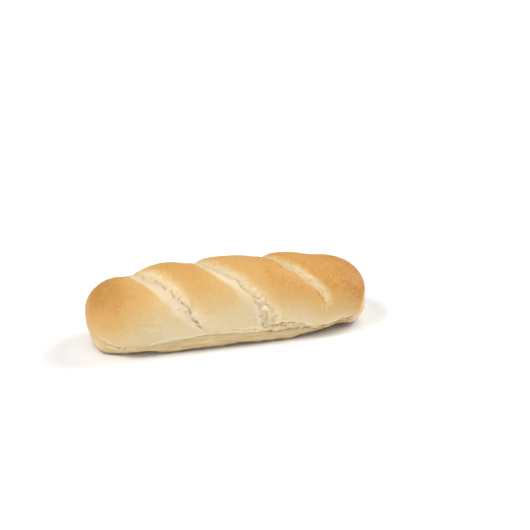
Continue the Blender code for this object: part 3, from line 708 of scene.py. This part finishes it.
def surfaceFields(place, along, down, seam, onHeel, onRim):
    # Every value that the relief and the colours read at each point. All are shares, apart from `sunk` and
    # `raised`, which are in metres.
    x, y, z = place.T
    sunk = loaf["lumpTall"] * noiseAt(place, loaf["lumpSize"], seed=0) * easeBetween(0, loaf["widestAt"], z)
    shares, light = np.zeros((3, len(place))), 1
    for cut in cuts:
        crag, trench, valley = cutForm(cut, place, along, down)
        sunk = sunk + crag - trench - valley
        *here, lighter = cutLooks(cut, place, along, down)
        shares, light = np.maximum(shares, here), light * lighter
    crumb, lump, pale = shares

    wander = noiseAt(place, ragged["edgeSize"], seed=21)
    rimTop = curveThrough(paleRim["top"], x) * mm + paleRim["wander"] * wander
    rimTop = rimTop + paleRim["slowWander"] * noiseAt(place, paleRim["slowSize"], seed=23)
    onPaleRim = (x > paleRim["top"][0][0] * mm) * (1 - easeBetween(*paleRim["edge"], z - rimTop))
    onPaleRim = onPaleRim * (1 - onHeel) * brokenUp(place, **paleRim["broken"])
    inTear = tearPlace(x, y, z + tear["edgeWander"] * wander)
    crag = noiseAt(place, tear["cragSize"], seed=0, near=inTear > 0)
    sunk = sunk + inTear * (tear["cragTall"] * crag - tear["deep"])
    tall = curveThrough(band["top"], x) * mm * (1 + band["wander"] * wander)
    inBand = (y < 0) * (z > seam - band["below"]) * (tall > band["least"])
    inBand = inBand * (1 - easeBetween(band["solid"] * tall, tall + band["edge"], z - seam))
    heelTorn = onHeel * easeBetween(*ragged["heelTorn"], x) * (1 - easeBetween(*ragged["heelTornFront"], y))
    heelTorn = heelTorn * (1 - ragged["endCleaner"] * easeBetween(*ragged["endCleans"], x))
    patches = ((inTear, tear), (inBand, band), (onPaleRim, paleRim))
    crumb = np.maximum.reduce([crumb, *(where * patch["crumb"] for where, patch in patches)])
    lump = np.maximum.reduce([lump, *(where * patch["lump"] for where, patch in patches)])
    lump = np.maximum(lump, ragged["heelLump"] * heelTorn)

    raised, tan, flourAndHighlight = markFields(
        along + marked["lineWander"] * noiseAt(place, marked["lineSize"], seed=31),
        down + marked["lineWander"] * noiseAt(place, marked["lineSize"], seed=32),
    )
    broken = brokenUp(place, **marked["broken"])
    tan, raised = tan * broken, np.where(raised < 0, raised * broken, raised)
    # the floury share, which also carries the painted highlight on two shaded flanks, broken into flakes
    flourAndHighlight = np.clip(flourAndHighlight * (1 + marked["flakes"] * noiseAt(place, marked["flakeSize"], seed=33)), 0, 1)
    flourAndHighlight = np.maximum(flourAndHighlight, ragged["endDust"] * onHeel * easeBetween(*ragged["endDusts"], x))
    raised = raised + onRim * ragged["rimTall"] * noiseAt(place, ragged["rimSize"], seed=41, near=onRim > 0)
    return {
        "sunk": sunk, "raised": raised, "crumb": crumb, "lump": lump, "tan": tan, "flourAndHighlight": flourAndHighlight,
        "pale": pale, "heelTorn": heelTorn, "bake": browning(place, light, pale),
        # the round ends darker, partly browner crust and partly painted shade
        "ends": easeBetween(*bake["ends"], np.abs(x)) * np.where(x < 0, 1, bake["rightEnd"]),
        "wrinkle": easeBetween(*ragged["wrinkled"], z) * (1 - onHeel),
    }


def fineness(place, along, down, rows):
    # how often each part of the grid is divided: finest where the dough tore, and along the single marks
    rimRow, heelRow, footRow, baseRow = rows
    depth = np.zeros(along.shape, np.int8)
    for cut in cuts:
        fade = cutPlaces(cut, along, down)[0]
        off, skin, end = cutLines(cut, along, down)
        depth[(fade > once["fade"]) & (skin > once["left"]) & (end < once["right"])] = 1
        inside = (off > twice["left"]) & (end < twice["right"]) & (down < twice["upTo"])
        depth[(fade > twice["fade"]) & inside] = 2
    x, y, z = place.transpose(2, 0, 1)
    depth[tearPlace(x, y, z) > 0] = 2
    near = (y < 0) & (x < band["fineTo"]) & (curveThrough(band["top"], x) > band["fineAbove"])
    near[:, : rimRow - grid["side"] // 8] = False
    near[:, heelRow + 1 :] = False
    depth[near] = 2
    flatAlong, flatDown, flat = along.reshape(-1), down.reshape(-1), depth.reshape(-1)
    for half, height, shade, *line in marks:
        if height:
            reach = marked["fineHalves"] * half * mm + marked["fineBeyond"]
            found, away = nearLine(line, flatAlong, flatDown, reach)
            flat[found[away < reach]] = 2
    for first, last in ((rimRow - 2, heelRow + 2), (footRow + 1, baseRow)):
        depth[:, first:last] = np.maximum(depth[:, first:last], 1)
    depth[:, baseRow + 2 :] = 0
    return depth


def rollBody():
    spine, direction = outlineColumns()
    profile, seam = columnProfiles(spine, direction)
    columns, rows = profile.shape[:2]
    away, height = profile[:, :, 0], profile[:, :, 1]
    travel = np.zeros_like(away)
    travel[:, 1:] = np.cumsum(np.hypot(np.diff(away, axis=1), np.diff(height, axis=1)), axis=1)
    cosine, sine = np.cos(direction)[:, None], np.sin(direction)[:, None]
    place = np.stack([spine[:, None] + away * cosine, away * sine, height], axis=2)
    along, down = spine[:, None] + travel * cosine, travel * sine

    rimRow = grid["dome"] + grid["side"]
    heelRow = rimRow + grid["rim"]
    footRow = heelRow + grid["heel"]
    baseRow = footRow + grid["corner"]
    depth = fineness(place, along, down, (rimRow, heelRow, footRow, baseRow))
    used, faces = dividedFaces(gridNames(columns, rows), depth)
    keep = np.flatnonzero(used)
    newName = np.full(used.size, -1)
    newName[keep] = np.arange(len(keep))
    points, along, down = place.reshape(-1, 3)[keep], along.ravel()[keep], down.ravel()[keep]
    row = keep % rows
    onHeel = ((row >= heelRow - 1) & (row <= baseRow)).astype(float)
    rimShare = (row - rimRow - ragged["rimMiddle"] * grid["rim"]) / (ragged["rimHalf"] * grid["rim"])
    fields = surfaceFields(points, along, down, np.repeat(seam, rows)[keep], onHeel, np.exp(-(rimShare**2)))
    # nothing is added to the base, so that it stays flat
    free = 1 - easeBetween(footRow + grid["corner"] // 4, baseRow, row)
    for name in ("sunk", "raised", "crumb", "lump", "heelTorn", "wrinkle"):
        fields[name] = fields[name] * free
    fields["crumb"] = fields["crumb"] * (1 - onHeel)
    # a dark line along the foot of the heel, toasted crust and painted contact shade, broken by nicks
    above = (height - height[:, [baseRow]]).reshape(-1)[keep]
    footEdge = brokenUp(points, **ragged["nicks"]) * (1 - easeBetween(*ragged["toastAndShade"], above))
    fields |= {
        "free": free, "heel": onHeel * free, "under": easeBetween(footRow, baseRow, row),
        "footEdge": footEdge * (1 - easeBetween(baseRow, baseRow + grid["base"] // 8, row)),
    }

    mesh = bpy.data.meshes.new("hoagieRoll")
    mesh.from_pydata(points, [], [[int(newName[n]) for n in ring] for ring, top in faces])
    for name, values in fields.items():
        mesh.attributes.new(name, "FLOAT", "POINT").data.foreach_set("value", values.astype(np.float32))
    heelFace = mesh.attributes.new("heelFace", "BOOLEAN", "FACE")
    heelFace.data.foreach_set("value", np.array([top >= heelRow for ring, top in faces]))
    print("body:", len(keep), "points", len(faces), "faces")
    return mesh


# What the relief adds to the form: rounded cells of gas that burst in the torn strips, and the grain of each
# surface. Lengths in metres.
relief = {
    "Blister Size": 2.7 * mm, "Blister Height": 0.42 * mm, "Crumb Size": 1.3 * mm,
    "Crumb Height": 0.22 * mm, "Grain Size": 0.6 * mm, "Grain Height": 0.14 * mm, "Dimple Size": 2.2 * mm,
    "Dimple Height": 0.4 * mm, "Wrinkle Size": 1.4 * mm, "Wrinkle Height": 0.7 * mm,
    "Heel Streak Size": 1.5 * mm, "Heel Streak Height": 0.22 * mm, "Heel Pit Size": 2.2 * mm,
    "Heel Pit Height": 0.9 * mm, "Seed": 4.0,
}
# name, share of the height kept below each cell, field that says where
cells = (("Blister", 0.55, "lump"), ("Crumb", 0.35, "crumb"))
# name, stretch of the pattern, field that says where
grains = (
    ("Grain", (1, 1, 1), "crumb"), ("Dimple", (1, 1, 1), "free"), ("Wrinkle", (0.22, 0.6, 1.3), "wrinkle"),
    ("Heel Streak", (0.2, 0.4, 1.5), "heel"), ("Heel Pit", (0.7, 1, 1), "heelTorn"),
)
# The cells are bent out of the round by a slow noise. Each is a dome with a height of its own.
cell = {
    "bendSize": 3 * mm, "bend": 2.4 * mm, "steep": 2.6, "lowest": -0.35, "least": 0.3, "luck": 0.75,
    "level": 0.3,  # of the dome that lies level with the skin
    # the painted shade in the crumb's hollows: its level among the cells, and its value where no cells are
    "hollowLevel": 0.4,
    "hollow": 0.3,  # where no cells are
}


def raisedBy(add, pattern, level, height, where, total):
    # the height so far with a pattern on it, in which `level` is neither raised nor sunk
    tall = add("ShaderNodeMath", (pattern, level), operation="SUBTRACT")
    tall = add("ShaderNodeMath", (tall, height), operation="MULTIPLY")
    return add("ShaderNodeMath", (tall, where, total), operation="MULTIPLY_ADD")


def reliefTree():
    tree = bpy.data.node_groups.new("crustAndCrumbRelief", "GeometryNodeTree")
    add = partial(addNode, tree)
    wanted = {"Geometry": "Geometry", "Crust": "Material", "Heel": "Material"}
    for name, kind in {**wanted, **dict.fromkeys(relief, "Float")}.items():
        tree.interface.new_socket(name=name, in_out="INPUT", socket_type="NodeSocket" + kind)
    tree.interface.new_socket(name="Geometry", in_out="OUTPUT", socket_type="NodeSocketGeometry")
    given = tree.nodes.new("NodeGroupInput").outputs
    place = add("GeometryNodeInputPosition")
    normal = add("GeometryNodeInputNormal")
    field = {
        name: add("GeometryNodeInputNamedAttribute", {"Name": name}, data_type="FLOAT")
        for name in ("sunk", "raised", "crumb", "lump", "heel", "heelTorn", "free", "wrinkle")
    }

    # the form itself: valleys, torn strips and slow lumps
    offset = add("ShaderNodeVectorMath", {0: normal, "Scale": field["sunk"]}, operation="SCALE")
    body = add("GeometryNodeSetPosition", {"Geometry": given["Geometry"], "Offset": offset})

    bend = {"Vector": place, "Scale": 1 / cell["bendSize"], "Detail": 1.0}
    bend = add("ShaderNodeTexNoise", bend, output=1)
    for operation, value in (("SUBTRACT", 3 * (0.5,)), ("MULTIPLY", 3 * (cell["bend"],)), ("ADD", place)):
        bend = add("ShaderNodeVectorMath", (bend, value), operation=operation)
    total, low = field["raised"], cell["hollow"]
    for name, depth, where in cells:
        often = add("ShaderNodeMath", (1.0, given[name + " Size"]), operation="DIVIDE")
        found = add(
            "ShaderNodeTexVoronoi", {"Vector": bend, "W": given["Seed"], "Scale": often},
            voronoi_dimensions="4D", feature="F1",
        ).node.outputs
        luck = add("FunctionNodeSeparateColor", {"Color": found["Color"]})
        luck = add("ShaderNodeMath", (luck, cell["luck"], cell["least"]), operation="MULTIPLY_ADD")
        dome = found["Distance"]
        for operation, *values in (
            ("POWER", 2.0), ("MULTIPLY_ADD", -cell["steep"], 1.0), ("MAXIMUM", cell["lowest"]),
            ("MULTIPLY", luck),
        ):
            dome = add("ShaderNodeMath", (dome, *values), operation=operation)
        total = raisedBy(add, dome, cell["level"], given[name + " Height"], field[where], total)
        # how low each place lies among the cells, for the painted shade in the hollows
        for share, value in ((-depth, cell["hollowLevel"] * depth), (field[where], low)):
            dome = add("ShaderNodeMath", (dome, share, value), operation="MULTIPLY_ADD")
        low = dome
    for name, stretch, where in grains:
        drawn = add("ShaderNodeVectorMath", (place, stretch), operation="MULTIPLY")
        often = add("ShaderNodeMath", (1.0, given[name + " Size"]), operation="DIVIDE")
        wave = add("ShaderNodeTexNoise", {"Vector": drawn, "Scale": often, "Detail": 2.0})
        total = raisedBy(add, wave, 0.5, given[name + " Height"], field[where], total)

    body = add(
        "GeometryNodeStoreNamedAttribute", {"Geometry": body, "Name": "hollow", "Value": low},
        data_type="FLOAT", domain="POINT",
    )
    offset = add("ShaderNodeVectorMath", {0: normal, "Scale": total}, operation="SCALE")
    body = add("GeometryNodeSetPosition", {"Geometry": body, "Offset": offset})
    body = add("GeometryNodeSetShadeSmooth", {"Geometry": body})
    body = add("GeometryNodeRealizeInstances", {"Geometry": body})
    heelFace = add("GeometryNodeInputNamedAttribute", {"Name": "heelFace"}, data_type="BOOLEAN")
    for inputs in ({"Material": given["Crust"]}, {"Material": given["Heel"], "Selection": heelFace}):
        body = add("GeometryNodeSetMaterial", {"Geometry": body, **inputs})
    add("NodeGroupOutput", {"Geometry": body})
    return tree


def placed(name, data):
    made = bpy.data.objects.new(name, data)
    bpy.context.scene.collection.objects.link(made)
    return made


def bakedForm(source, tree, values, name):
    # runs the tree on a mesh and gives back the result as a plain object
    holder = placed(name + "Source", source)
    modifier = holder.modifiers.new("relief", "NODES")
    modifier.node_group = tree
    for item in tree.interface.items_tree:
        if item.in_out == "INPUT" and item.name in values:
            modifier[item.identifier] = values[item.name]
    graph = bpy.context.evaluated_depsgraph_get()
    mesh = bpy.data.meshes.new_from_object(holder.evaluated_get(graph))
    mesh.name = name
    holder.modifiers.remove(modifier)
    bpy.data.objects.remove(holder)
    return placed(name, mesh)


def fitBox(mesh, low, high):
    # stands the mesh exactly in the CAD solid's box
    points = np.array([point.co for point in mesh.vertices], float)
    before, after = points.min(0), points.max(0)
    low, high = np.array(low), np.array(high)
    points = low + (points - before) * (high - low) / (after - before)
    mesh.vertices.foreach_set("co", points.astype(np.float32).ravel())
    mesh.update()
    print("fitted to the box, scaled by", np.round((high - low) / (after - before), 4))


# Colours, as seen in soft daylight. The crust's run from unbaked to brown.
crustTones = (
    (0.0, "#d6c5a2"), (0.25, "#d2bb90"), (0.5, "#ceae77"), (0.68, "#c9a064"), (0.82, "#c69755"),
    (1.0, "#b1762e"),
)
colours = {
    # the tone of the crumb's hollows is painted shade between the cells
    "flank": "#d5c2a0", "crumb": "#d2c19f", "hollow": "#c5a473", "crack": "#b38d4d", "flourAndHighlight": "#e6d9c0",
    "heel": "#d6be90", "heelDust": "#e4d2aa", "heelToast": "#bb9b68", "heelTorn": "#c5b18b",
    # the foot's edge tone is toasted crust and painted contact shade
    "heelPit": "#a1865a", "base": "#a47c48", "baseDust": "#cfae79", "footEdge": "#765426",
    # the tone that darkens the round ends is partly browner crust and partly painted shade
    "endBrowningAndShade": "#dedad7",  # multiplies the colour at the round ends
}


def startMaterial(name, fields):
    # an empty material, with the coordinates, the fields of the mesh and the colours that it draws on
    material = bpy.data.materials.new(name)
    material.use_nodes = True
    tree = material.node_tree
    tree.nodes.clear()
    add = partial(addNode, tree)
    place = add("ShaderNodeTexCoord", output="Object")
    field = {name: add("ShaderNodeAttribute", attribute_name=name, output="Fac") for name in fields}
    return material, add, place, field, {name: hexColour(text) for name, text in colours.items()}


def layered(add, skin, layers):
    # lays one colour over another, each with its share
    for share, tone, blend in layers:
        skin = add(
            "ShaderNodeMix", {0: share, 6: skin, 7: tone}, data_type="RGBA", blend_type=blend, output=2
        )
    return skin


def finishMaterial(add, place, skin, look):
    # the pores, too fine to be geometry, and the surface itself
    bump = add("ShaderNodeTexNoise", {"Vector": place, "Scale": 1 / look["poreSize"], "Detail": 3.0})
    bump = add("ShaderNodeBump", {"Height": bump, **look["pores"]})
    shader = add("ShaderNodeBsdfPrincipled", {"Base Color": skin, "Normal": bump, **look["surface"]})
    add("ShaderNodeOutputMaterial", {"Surface": shader})


crustLook = {
    # size of the pattern, its detail, and how far it moves the crust's colour
    "mottle": ((4 * mm, 2.0, 0.07), (1.5 * mm, 2.0, 0.13), (0.7 * mm, 1.0, 0.18)),
    "hollowMottle": 3.0, "hollows": {"From Min": 0.2, "From Max": 0.95}, "poreSize": 0.8 * mm,
    "pores": {"Distance": 0.14 * mm, "Strength": 0.8},
    "surface": {
        "Roughness": 0.6, "Specular IOR Level": 0.2, "Subsurface Weight": 0.05,
        "Subsurface Radius": (1.0, 0.6, 0.3), "Subsurface Scale": 1.5 * mm,
    },
}


def crustMaterial():
    # Baked wheat crust: thin, dry and softly glossy, on the browned crust and the torn crumb alike.
    # The oven's heat gives it a colour that runs from cream to amber, mottled over a few millimetres. Torn
    # crumb is pale on its lumps, with painted shade in the hollows between them.
    material, add, place, field, tone = startMaterial(
        "bakedWheatCrust", ("bake", "ends", "crumb", "pale", "hollow", "tan", "flourAndHighlight")
    )
    heat = field["bake"]
    for size, detail, reach in crustLook["mottle"]:
        cloud = add("ShaderNodeTexNoise", {"Vector": place, "Scale": 1 / size, "Detail": detail})
        shift = add("ShaderNodeMapRange", {"Value": cloud, "To Min": -reach, "To Max": reach}, clamp=False)
        heat = add("ShaderNodeMath", (heat, shift), operation="ADD")
    heat = add("ShaderNodeMath", (heat, bake["hottest"]), operation="DIVIDE")
    ramp = add("ShaderNodeValToRGB", {"Fac": heat}).node
    while len(ramp.color_ramp.elements) < len(crustTones):
        ramp.color_ramp.elements.new(0.5)
    for element, (at, text) in zip(ramp.color_ramp.elements, crustTones):
        element.position, element.color = at, hexColour(text)
    # the painted shade in the hollows takes the finest mottle
    low = add("ShaderNodeMath", (shift, crustLook["hollowMottle"], field["hollow"]), operation="MULTIPLY_ADD")
    low = add("ShaderNodeMapRange", {"Value": low, **crustLook["hollows"]})
    torn = layered(add, tone["crumb"], ((low, tone["hollow"], "MIX"),))
    skin = layered(
        add, ramp.outputs["Color"],
        (
            # the round ends are darkened, partly browner crust and partly painted shade
            (field["ends"], tone["endBrowningAndShade"], "MULTIPLY"), (field["pale"], tone["flank"], "MIX"),
            (field["crumb"], torn, "MIX"), (field["flourAndHighlight"], tone["flourAndHighlight"], "MIX"),
            (field["tan"], tone["crack"], "MIX"),
        ),
    )
    finishMaterial(add, place, skin, crustLook)
    return material


heelLook = {
    "streakStretch": (0.25, 0.25, 1.8),
    # size of each pattern, its detail and roughness, and the range that it is spread over
    "streak": (3 * mm, 4.0, 0.5, {"From Min": 0.3, "From Max": 0.7}),
    "pits": (1.8 * mm, 2.0, 0.5, {"From Min": 0.48, "From Max": 0.66}),
    "baseDust": (16 * mm, 7.0, 0.62, {"From Min": 0.38, "From Max": 0.74, "To Max": 0.6}),
    "even": 0.45,  # share of one plain colour over the streaks
    "poreSize": 0.9 * mm, "pores": {"Distance": 0.16 * mm, "Strength": 0.9},
    "surface": {"Roughness": 0.8, "Specular IOR Level": 0.25},
}


def heelMaterial():
    # Tray-baked heel: dry and matt, evenly tan, streaked along the roll where it dragged, with fine pores.
    # It is browner underneath, and grey-tan, rough and pitted at the end where it tore away from the crust.
    material, add, place, field, tone = startMaterial(
        "trayBakedHeel", ("under", "footEdge", "ends", "heelTorn", "tan", "flourAndHighlight")
    )
    drawn = add("ShaderNodeMapping", {"Vector": place, "Scale": heelLook["streakStretch"]})
    share = {}
    for name, at in (("streak", drawn), ("pits", place), ("baseDust", place)):
        size, detail, rough, spread = heelLook[name]
        cloud = {"Vector": at, "Scale": 1 / size, "Detail": detail, "Roughness": rough}
        cloud = add("ShaderNodeTexNoise", cloud)
        share[name] = add("ShaderNodeMapRange", {"Value": cloud, **spread})
    under = layered(add, tone["base"], ((share["baseDust"], tone["baseDust"], "MIX"),))
    torn = layered(add, tone["heelTorn"], ((share["pits"], tone["heelPit"], "MIX"),))
    skin = layered(
        add, tone["heelToast"],
        (
            (share["streak"], tone["heelDust"], "MIX"), (heelLook["even"], tone["heel"], "MIX"),
            # the round ends are darkened, partly browner crust and partly painted shade
            (field["ends"], tone["endBrowningAndShade"], "MULTIPLY"), (field["heelTorn"], torn, "MIX"),
            (field["under"], under, "MIX"), (field["flourAndHighlight"], tone["flourAndHighlight"], "MIX"),
            # the dark line along the foot is toasted crust and painted contact shade
            (field["tan"], tone["crack"], "MIX"), (field["footEdge"], tone["footEdge"], "MIX"),
        ),
    )
    finishMaterial(add, place, skin, heelLook)
    return material


crust, heel = crustMaterial(), heelMaterial()
roll = bakedForm(rollBody(), reliefTree(), {**relief, "Crust": crust, "Heel": heel}, "hoagieRoll")
fitBox(roll.data, *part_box("roll"))
roll.data.calc_loop_triangles()
print("roll:", len(roll.data.loop_triangles), "triangles")
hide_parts("roll")
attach(roll, "root")

# Floor, light and camera.
studio = {
    "floorHalf": 4.0, "floorBelow": 0.1 * mm,
    "floorColour": "#f6f6f6",
    "floorSurface": {"Roughness": 0.9, "Specular IOR Level": 0.1},
    "worldColour": "#ffffff",
    "worldStrength": 0.08,
}
# name, azimuth, elevation and width in degrees, strength
lamps = (
    ("backRight", 105, 30, 42, 3.05),
    ("lowLeft", -75, 12, 40, 2.45),
    ("keyLeft", -75, 50, 20, 1.7),
    ("lowRight", 45, 12, 40, 0.93),
    ("above", 0, 90, 42, 0.62),
)
viewpoint = {
    "azimuth": math.radians(-14.22),
    "elevation": math.radians(25),
    "away": 780 * mm,
    "aim": Vector((0, 0, 20 * mm)),
    "lens": 83.87, "sensor": 36, "near": 10 * mm, "far": 50, "turnRight": math.radians(1.729),
    "tiltUp": math.radians(1.653),
}


def fromDirection(azimuth, elevation):
    flat = math.cos(elevation)
    return Vector((math.sin(azimuth) * flat, -math.cos(azimuth) * flat, math.sin(elevation)))


def makeStudio():
    half, low = studio["floorHalf"], -studio["floorBelow"]
    corners = [(-half, -half, low), (half, -half, low), (half, half, low), (-half, half, low)]
    mesh = bpy.data.meshes.new("table")
    mesh.from_pydata(corners, [], [(0, 1, 2, 3)])
    paint = bpy.data.materials.new("mattWhiteLaminate")
    paint.use_nodes = True
    shader = paint.node_tree.nodes["Principled BSDF"]
    for name, value in {"Base Color": hexColour(studio["floorColour"]), **studio["floorSurface"]}.items():
        shader.inputs[name].default_value = value
    mesh.materials.append(paint)
    placed("table", mesh)
    world = bpy.data.worlds.new("studio")
    world.use_nodes = True
    sky = world.node_tree.nodes["Background"]
    sky.inputs["Color"].default_value = hexColour(studio["worldColour"])
    sky.inputs["Strength"].default_value = studio["worldStrength"]
    bpy.context.scene.world = world
    for name, azimuth, elevation, width, strength in lamps:
        light = bpy.data.lights.new(name, "SUN")
        light.angle = math.radians(width)
        light.energy = strength
        holder = placed(name, light)
        away = fromDirection(math.radians(azimuth), math.radians(elevation))
        holder.location = away
        holder.rotation_euler = away.to_track_quat("Z", "Y").to_euler()


def makeCamera():
    back = fromDirection(viewpoint["azimuth"], viewpoint["elevation"])
    camera = bpy.data.cameras.new("camera")
    camera.sensor_width = viewpoint["sensor"]
    camera.lens = viewpoint["lens"]
    camera.clip_start, camera.clip_end = viewpoint["near"], viewpoint["far"]
    holder = placed("camera", camera)
    holder.location = viewpoint["aim"] + back * viewpoint["away"]
    aside = Quaternion((0, 1, 0), -viewpoint["turnRight"]) @ Quaternion((1, 0, 0), viewpoint["tiltUp"])
    holder.rotation_euler = (back.to_track_quat("Z", "Y") @ aside).to_euler()
    bpy.context.scene.camera = holder


makeStudio()
makeCamera()
bpy.context.scene.view_settings.view_transform = "Standard"
print("studio ready")
